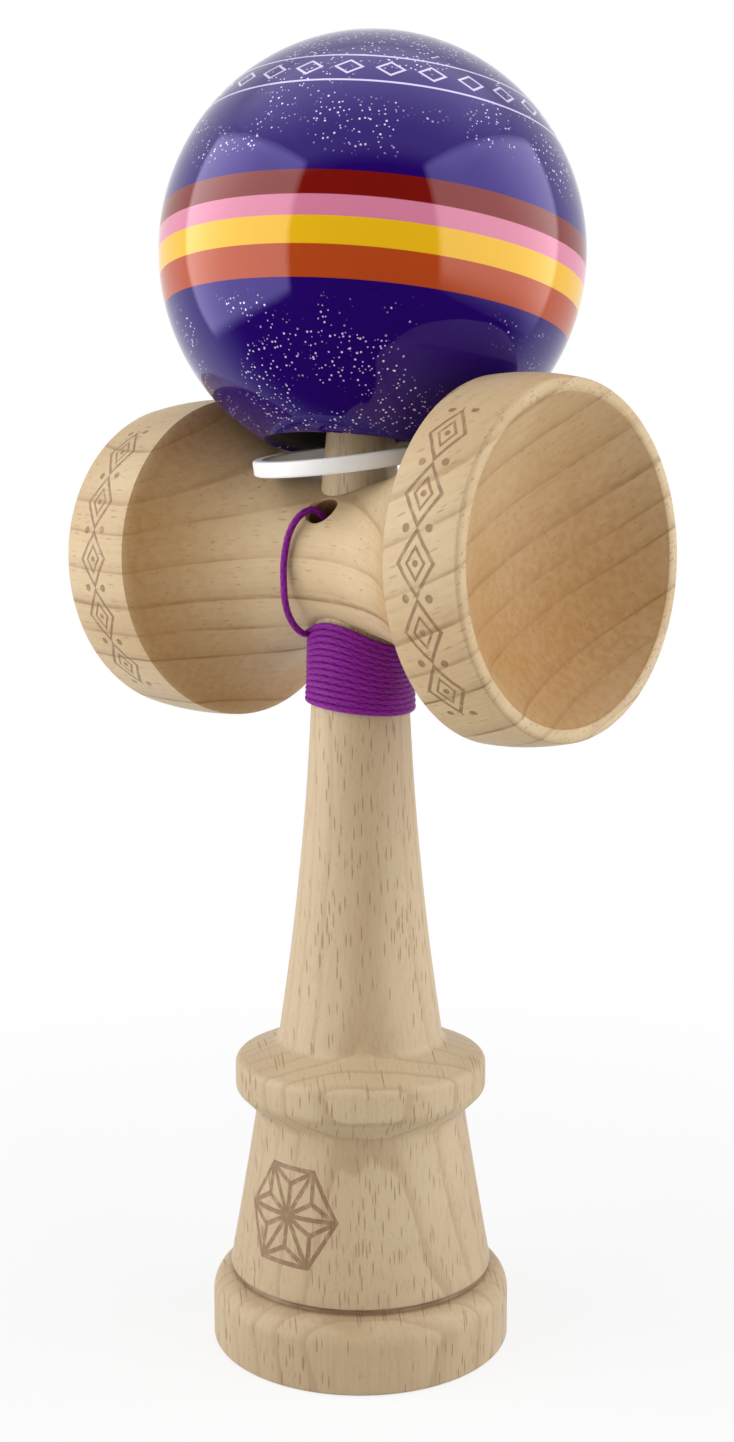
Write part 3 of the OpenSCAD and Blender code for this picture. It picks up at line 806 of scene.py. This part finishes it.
# %% [markdown]
# ## Pale wood for the crosspiece
# The crosspiece's grain runs along it, from cup to cup. Its growth rings are wide and nearly flat
# sheets that lean a little, so they run as brown lines along the flanks and as slanting streaks
# across the bowls. Pores show as small dashes.

# %% Grow the crosspiece's wood
CREAM_PALE, CREAM_WARM = rgb(0.565, 0.432, 0.262), rgb(0.51, 0.372, 0.208)
LATE_BROWN, PORE_BROWN = rgb(0.26, 0.14, 0.06), rgb(0.20, 0.105, 0.045)
sheet_lean, sheet_twist, sheet_fan = 0.34, 0.004, 0.012
sheet_bow, sheet_flare, flare_from, sheet_warp = 0.002, 0.42, 20.0, 1.8
sheet_gap, fine_gap = 6.2, 1.13
cupw = Finish("cup_wood", 0.5, 0.32)
bx, by, bz = cupw.places(centre=(0, 0, axis_h))
to_big = bx.calc("GREATER_THAN", 0.0)
outward = cupw.parts(cupw.node("TexCoord").outputs["Normal"])[0] * (to_big * 2.0 - 1.0)
warp = cupw.noise(bx * 0.022, by * 0.05, bz * 0.05, 2.0) - 0.5
slope = sheet_lean + bx * sheet_twist + bz * bx.fade(10.0, -10.0) * sheet_fan
flare = (bx - flare_from).most(0.0) * sheet_flare
sheet = by * slope - bz - by * by * sheet_bow + flare - warp * sheet_warp
place = sheet / sheet_gap + cupw.noise(sheet * 0.11, 0.0, 0.0, 1.0) * 1.3
share = place.calc("FRACT")
own = cupw.chance(place.calc("FLOOR"))
broken = cupw.noise(bx * 0.09, by * 0.14, bz * 0.5, 2.0).fade(0.32, 0.6, 0.3, 1.0)
late_line = share.fade(0.86, 0.95) * share.fade(0.965, 0.995, 1.0, 0.0) * broken
late_zone = (share.fade(0.35, 0.95) ** 2.0) * share.fade(0.965, 1.0, 1.0, 0.0)
late = (late_line * 0.80 + late_zone * 0.30) * (0.45 + own * 0.55) * (1.0 - outward.most(0.0) * 0.6)
fine_share = (sheet / fine_gap).calc("FRACT")
fine_line = fine_share.fade(0.3, 0.85) * fine_share.fade(0.88, 1.0, 1.0, 0.0)
streak = cupw.noise(bx * 0.05, by * 0.16, sheet * 1.7, 3.0)
pore, pore_own = cupw.cells(bx * 0.34, by * 1.15, sheet * 2.3)
pores = pore.under(0.25, 0.16) * pore_own.fade(0.35, 1.0)
mottle = cupw.noise(bx * 0.7, by * 0.9, bz * 0.9, 3.0)
tone = cupw.noise(bx * 0.04 + 3.1, by * 0.07, bz * 0.07, 1.0)

cream = cupw.mix(tone.fade(0.35, 0.65), CREAM_PALE, CREAM_WARM)
shade = late * 0.95 + fine_line * 0.04 + streak.fade(0.45, 0.75) * 0.10 + mottle.fade(0.45, 0.72) * 0.09
grown = cupw.mix(shade, cream, LATE_BROWN)
pored = cupw.mix(pores * 0.42, grown, PORE_BROWN)
print(f"crosspiece: growth sheets {sheet_gap} mm apart")

# %% [markdown]
# Wood cut across its grain drinks more oil and turns browner, so the bowls and the steep ends of the
# flanks are darker than the bands. How far a face looks along the grain tells how brown it is. In the
# big bowl a painted shade makes the side towards +Y and the bottom browner still, and the growth
# lines show through. The flat lips are left out of the browning, so they stay pale.

# %% Brown the end grain
# The oiled brown serves the end grain's oil colour and the big bowl's painted shade.
OILED_AND_SHADE_BROWN, BOWL_LINE = rgb(0.326, 0.149, 0.025), rgb(0.19, 0.092, 0.026)
off_axis = (by ** 2 + bz ** 2) ** 0.5
from_end = small["end"] + to_big * (big["end"] - small["end"]) - abs(bx)
end_grain = abs(outward).fade(0.25, 1.0) * from_end.fade(0.18, 0.32)
# Painted shade: the big bowl grows browner towards +Y and towards the bottom.
bowl_painted_shade = (by * 0.57 - bz * 0.82).fade(-24.0, 20.0, 0.30, 1.08)
oiled_and_shaded = end_grain * (0.84 + to_big * (bowl_painted_shade - 0.84))
browned_and_shaded = cupw.mix(oiled_and_shaded * mottle.fade(0.3, 0.7, 0.88, 1.06), pored, OILED_AND_SHADE_BROWN)
browned_and_shaded = cupw.mix(late * outward.most(0.0) * 0.9, browned_and_shaded, BOWL_LINE)
print(f"bowls {big['deep']} and {small['deep']} mm deep, browned")

# %% [markdown]
# Each band carries a burnt border of linked lozenges with dots between them, on its front and its
# back. It is worked out flat, as the star was: round the band in one direction and across it in the
# other. A lozenge is where the two distances have one sum, so one value gives its outer and its
# inner outline. A slow wobble makes the lines look drawn by hand.

# %% Burn the border on the bands
border_count, border_step, border_half, border_stroke = 5, 8.6, 2.65, 0.46
dot_r, dot_off, eye_r = 0.52, 1.75, 0.42
big_mid = (big["back"] + big["end"]) / 2 - 0.2
small_mid = (small["back"] + small["end"]) / 2 - 0.2
v = abs(bx) - (small_mid + to_big * (big_mid - small_mid))
wobble = (cupw.noise(bx * 0.5, by * 0.5, bz * 0.5, 1.0) - 0.5) * 0.22
u = bz.calc("ARCTAN2", abs(by)) * big["cup"] + wobble
cell = ((u / border_step + 0.5).calc("FRACT") - 0.5) * border_step
diamond = abs(cell) / (border_step * 0.46) + abs(v + wobble) / border_half
steep = border_half * 0.86
outer_line = (abs(diamond - 1.0) * steep).under(border_stroke / 2, 0.14)
inner_line = (abs(diamond - 0.5) * steep).under(border_stroke * 0.36, 0.12)
middle = ((cell ** 2 + v ** 2) ** 0.5).under(eye_r, 0.14)
gap_u = border_step / 2 - abs(cell)
side_v = abs(v) - dot_off
dots = ((gap_u ** 2 + side_v ** 2) ** 0.5).under(dot_r, 0.14)
along = abs(u).under(border_count * border_step / 2 + 0.3, 0.3)
on_band = off_axis.fade(22.6, 22.75) * abs(v).under(4.2, 0.2)
scorch = cupw.noise(bx * 0.8, by * 0.8, bz * 0.8, 3.0)
drawn = outer_line.most(inner_line).most(middle).most(dots)
border = drawn * along * on_band * scorch.fade(0.25, 0.55, 0.5, 1.0)
print(f"border of {border_count} lozenges, {border_step} mm each")

# %% [markdown]
# The drill browned the wall of the cord's hole. The bump sinks the pores, the lines and the border.

# %% Dress the crosspiece
hole_wall = from_hole(bx, by, bz).under(hole_r + 0.35, 0.5) * by.under(-3.0, 0.5)
hole_burn = hole_wall * off_axis.under(waist_r - 0.1, 0.9)
coloured = cupw.mix((border * 0.78).most(hole_burn * 0.8), browned_and_shaded, BURNT_AND_HOLE_SHADE)
cup_height = streak * 0.015 - pores * 0.03 - late * 0.012 - border * 0.08
cupw.done(crosspiece, coloured, roughness=0.40 + streak * 0.16, height=cup_height)

# %% [markdown]
# ## Lacquer for the ball
# The ball is sprayed deep violet, with four stripes round its middle, under a thick clear gloss. A
# little pearl in the violet tints the reflections, which a small metallic share gives. Heights are
# measured along the ball's own axis, so the stripes stay level on the ball however it leans.

# %% Paint the stripes
VIOLET = rgb(0.019, 0.0018, 0.142)
stripes = [
    (3.0, rgb(0.168, 0.0053, 0.0029)),
    (-0.1, rgb(0.57, 0.18, 0.285)),
    (-2.7, rgb(0.71, 0.40, 0.0085)),
    (-6.1, rgb(0.385, 0.053, 0.009)),
]
stripes_end = -10.05
edge = 0.10
lac = Finish("lacquer", 0.04, 0.46)
lean = ball_place.to_euler()
x, y, z = lac.places(centre=ball_centre, turn=tuple(lean))
paint = VIOLET
for top, colour in stripes:
    paint = lac.mix(z.under(top, edge), paint, colour)
paint = lac.mix(z.under(stripes_end, edge), paint, VIOLET)
pearl = 0.28 - z.under(stripes[0][0], edge) * z.fade(stripes_end, stripes_end + edge) * 0.22
print(len(stripes), "stripes, from", stripes[0][0], "to", stripes_end, "mm")

# %% [markdown]
# The dusting of pale dots is a cell texture: a dot of its own size sits at each cell's point, and a
# cloud of noise says where the dots are thick. Near the top are two fine rings with lozenges between
# them. They are measured along the arc from the ball's pole, so the lines keep their width on the
# curved skin. The bore is bare wood, coloured nearly black as a painted shade of the deep hole.

# %% Dust the ball and dress it
SPECK = rgb(0.72, 0.62, 0.86)
# The bore's two near-black colours are a painted shade of the deep hole.
BORE_SHADE_LIGHT, BORE_SHADE_DEEP = rgb(0.030, 0.018, 0.010), rgb(0.014, 0.008, 0.005)
belt_high, belt_mid, belt_low, belt_line, belt_r = 25.2, 27.9, 30.6, 0.16, 24.0
lozenge_count, lozenge_w, lozenge_h = 28, 1.75, 1.35
dust_scale = 2.0

dust, dust_own = lac.cells(x * dust_scale, y * dust_scale, z * dust_scale)
cloud = lac.noise(x * 0.11, y * 0.11, z * 0.11 + 4.0, 2.0)
clear = z.under(stripes_end - 2.0, 2.0).most(z.fade(4.5, 7.0))
dot_size = dust_own.fade(0.45, 1.0, 0.18, 0.31)
dusting = (dust - dot_size).under(0.0, 0.10) * dust_own.fade(0.46, 0.48) * cloud.fade(0.46, 0.56) * clear

top_turn = y.calc("ARCTAN2", x)
belt = (z / ball_r).calc("ARCCOSINE") * ball_r
ring_lines = abs(belt - belt_high).least(abs(belt - belt_low)).under(belt_line, 0.10)
step = math.tau / lozenge_count
belt_u = ((top_turn / step).calc("FRACT") - 0.5) * step * belt_r
lozenge = abs((abs(belt_u) / lozenge_w + abs(belt - belt_mid) / lozenge_h) - 1.0).under(0.15, 0.10)
garland = ring_lines.most(lozenge)
paint = lac.mix(dusting.most(garland * 0.82), paint, SPECK)

off_ball_axis = (x ** 2 + y ** 2) ** 0.5
from_middle = (off_ball_axis ** 2 + z ** 2) ** 0.5
bare = from_middle.under(ball_r - 0.75, 0.3)
bore_grain = lac.noise(x * 1.6, y * 1.6, z * 0.15, 3.0)
# Painted shade: the bore's bare wood is coloured nearly black.
bore_painted_shade = lac.mix(bore_grain, BORE_SHADE_LIGHT, BORE_SHADE_DEEP)
paint = lac.mix(bare, paint, bore_painted_shade)
orange_peel = lac.noise(x * 0.28, y * 0.28, z * 0.28, 1.0)
feed(lac.tree, lac.shader.inputs["Metallic"], pearl * (1.0 - bare))
lac.done(ball, paint, roughness=0.05 + bare * 0.5, height=orange_peel * 0.012)

# %% [markdown]
# ## Ring, bead and cord
# The ring is a white plastic washer with a satin skin and faint turning marks. The bead is plain
# turned wood.

# %% Dress the ring and the bead
plastic = Finish("ring_white", 0.38, 0.5)
x, y, z = plastic.places(centre=ring_centre, turn=(ring_tilt, 0, 0))
haze = plastic.noise(x * 0.5, y * 0.5, z * 0.5, 3.0)
marks = ((x ** 2 + y ** 2) ** 0.5 * 38.0).calc("SINE")
white = plastic.mix(haze, rgb(0.76, 0.755, 0.745), rgb(0.82, 0.815, 0.81))
plastic.done(ring, white, roughness=0.34 + haze * 0.12, height=haze * 0.01 + marks * 0.0012)

beadw = Finish("bead_wood", 0.55, 0.35)
x, y, z = beadw.places(centre=ball_centre, turn=tuple(lean))
lines = beadw.noise(x * 2.2, y * 2.2, z * 0.25, 3.0)
bead_colour = beadw.mix(lines.fade(0.3, 0.7), rgb(0.58, 0.40, 0.22), rgb(0.42, 0.26, 0.13))
beadw.done(bead, bead_colour, height=lines * 0.03)

# %% [markdown]
# The cord's braid is drawn on its UV map, whose height counts millimetres along the cord: two
# families of slanting strands with a painted shade in the grooves between them, and a fine thread
# within each strand with a painted highlight, mixed with blotches of dye.

# %% Dye the cord
# The darkest colour is a painted shade for the grooves between the strands. The lightest is a painted
# highlight for the threads, also used for blotches of dye.
CORD_GROOVE_SHADE, CORD_DYED = rgb(0.112, 0.0035, 0.135), rgb(0.222, 0.008, 0.262)
CORD_SHINE_AND_DYE, CORD_SHEEN = rgb(0.37, 0.024, 0.41), rgb(0.75, 0.35, 0.9)
THREADS = 5

braid = Finish("cord", 0.45, 0.16)
braid.shader.inputs["Sheen Weight"].default_value = 0.12
braid.shader.inputs["Sheen Roughness"].default_value = 0.4
braid.shader.inputs["Sheen Tint"].default_value = CORD_SHEEN
u, s, _ = braid.parts(braid.node("UVMap", uv_map="braid").outputs[0])


def strands(count, way):
    """Waves that slant one way (1) or the other (-1) round the cord, some to each strand."""
    return ((u * (BRAID_STRANDS * count) + s * (way * count / (2 * STITCH))) * math.tau).calc("SINE")


left, right = strands(1, 1), strands(1, -1)
over = (left * right).fade(-0.25, 0.25)
strand = left.most(right)
thread = over * strands(THREADS, 1) + (1.0 - over) * strands(THREADS, -1)
dye = braid.noise(u * 3.0, s * 0.2, 0.0, 2.0)
# Painted shade: the grooves between the strands are darker.
deep = braid.mix(strand.fade(0.0, 0.9), CORD_GROOVE_SHADE, CORD_DYED)
# Painted highlight on the threads, mixed with blotches of dye.
shine_and_dye = braid.mix(thread.fade(0.0, 1.0) * 0.4 + dye.fade(0.45, 0.7) * 0.2, deep, CORD_SHINE_AND_DYE)
braid.done(cord, shine_and_dye, height=strand * 0.018 + thread * 0.010)

# %% [markdown]
# ## Light and ground
# A glossy ball shows the whole studio. Its photograph has a tall softbox on either side, soft light
# from above, and a dark room towards the camera, and the same three lamps stand here. Each lamp's
# power follows from the brightness that its face should have.

# %% Set up the lamps
studio_middle = Vector((0, 0, 0.14))


def softbox(name, turn, rise, reach, width, height, brightness):
    """A rectangular lamp, some degrees to the right of the camera and up, facing the toy."""
    a, e = math.radians(turn), math.radians(rise)
    away = (to_camera * math.cos(a) + to_right * math.sin(a)) * math.cos(e) + Vector((0, 0, math.sin(e)))
    bpy.ops.object.light_add(type="AREA", location=studio_middle + away * reach)
    lamp = bpy.context.object
    lamp.name = name
    lamp.rotation_euler = away.to_track_quat("Z", "Y").to_euler()
    lamp.data.shape = "RECTANGLE"
    lamp.data.size, lamp.data.size_y = width, height
    lamp.data.energy = brightness * math.pi * width * height
    lamp.visible_camera = False
    print(f"{name}: {lamp.data.energy:.1f} W")
    return lamp


def soften_face(lamp, foot, edge):
    """Let a lamp's face grow darker towards its foot and its other edges, as a softbox's cloth does."""
    lamp.data.use_nodes = True
    tree = lamp.data.node_tree
    split = add_node(tree, "SeparateXYZ", {0: add_node(tree, "NewGeometry").outputs["Parametric"]})
    across, up = Value(tree, split.outputs[0]), Value(tree, split.outputs[1])
    to_side = 0.5 - abs(across - 0.5)
    face = up.fade(0.0, foot, 0.1, 1.0) * to_side.fade(0.0, edge, 0.3, 1.0)
    face = face * (1.0 - up).fade(0.0, edge, 0.3, 1.0)
    feed(tree, tree.nodes["Emission"].inputs["Strength"], face)


soften_face(softbox("left_softbox", -78, 10, 0.60, 0.87, 0.88, 2.5), 0.10, 0.06)
soften_face(softbox("right_softbox", 72, 10, 0.60, 1.00, 0.88, 2.15), 0.28, 0.06)
soften_face(softbox("top_softbox", 0, 78, 0.48, 1.00, 0.80, 0.85), 0.2, 0.2)

# %% [markdown]
# The background is white to the camera. Reflections see it too, except towards the dark side of the
# room. All other light from it is a weak fill, stronger from below, as a white table gives.

# %% Set up the background
FILL_ABOVE, FILL_BELOW, ROOM_DARK = 0.16, 0.94, 0.02
dark_side = (to_camera * 0.94 + Vector((0, 0, -0.34))).normalized()
world = bpy.data.worlds.new("studio")
bpy.context.scene.world = world
world.use_nodes = True
tree = world.node_tree
tree.nodes.clear()


def ray_is(tree, kind):
    """1 for rays of one kind, 0 for all others."""
    return Value(tree, add_node(tree, "LightPath").outputs[f"Is {kind} Ray"])


looks = add_node(tree, "TexCoord").outputs["Generated"]
towards = add_node(tree, "VectorMath", {0: looks, 1: dark_side}, operation="DOT_PRODUCT")
room = Value(tree, towards.outputs["Value"]).fade(-0.35, 0.25, 1.0, ROOM_DARK)
split = add_node(tree, "SeparateXYZ", {0: looks})
fill = Value(tree, split.outputs[2]).fade(-0.3, 0.05, FILL_BELOW, FILL_ABOVE)
seen = ray_is(tree, "Camera").most(ray_is(tree, "Transmission"))
glossy = ray_is(tree, "Glossy")
strength = (seen + glossy * room).most((1.0 - seen.most(glossy)) * fill)
backdrop = add_node(tree, "Background", {"Color": rgb(1, 1, 1), "Strength": strength})
add_node(tree, "OutputWorld", {0: backdrop.outputs[0]})
print("fill light", FILL_ABOVE, "from above,", FILL_BELOW, "from below")

# %% [markdown]
# The floor is a pale disc under the toy. To the camera it is mostly white and fades into the
# background at its edge. The rest keeps the toy's shadow.

# %% Lay the floor
FLOOR_R, FLOOR_WHITE = 0.24, 0.82
bpy.ops.mesh.primitive_circle_add(vertices=96, radius=FLOOR_R, fill_type="NGON", location=(0, 0, -0.0001))
floor = bpy.context.object
floor.name = "floor"
floor.visible_glossy = False
bpy.ops.object.transform_apply(location=True)
ground = Finish("floor", 0.8, 0.1)
x, y, _ = ground.places()
far = ((x ** 2 + y ** 2) ** 0.5).fade(60.0, FLOOR_R / MM * 0.95)
to_eye = ray_is(ground.tree, "Camera").most(ray_is(ground.tree, "Transmission"))
ground.shader.inputs["Base Color"].default_value = rgb(0.86, 0.86, 0.86)
glow = ground.node("Emission", {"Color": rgb(1, 1, 1), "Strength": 1.0})
share = to_eye * (FLOOR_WHITE + far * (1 - FLOOR_WHITE))
blend = ground.node("MixShader", {0: share, 1: ground.shader.outputs[0], 2: glow.outputs[0]})
feed(ground.tree, ground.tree.nodes["Material Output"].inputs[0], blend.outputs[0])
floor.data.materials.append(ground.material)
bpy.context.scene.view_settings.view_transform = "Standard"
print("floor of", FLOOR_R, "m")
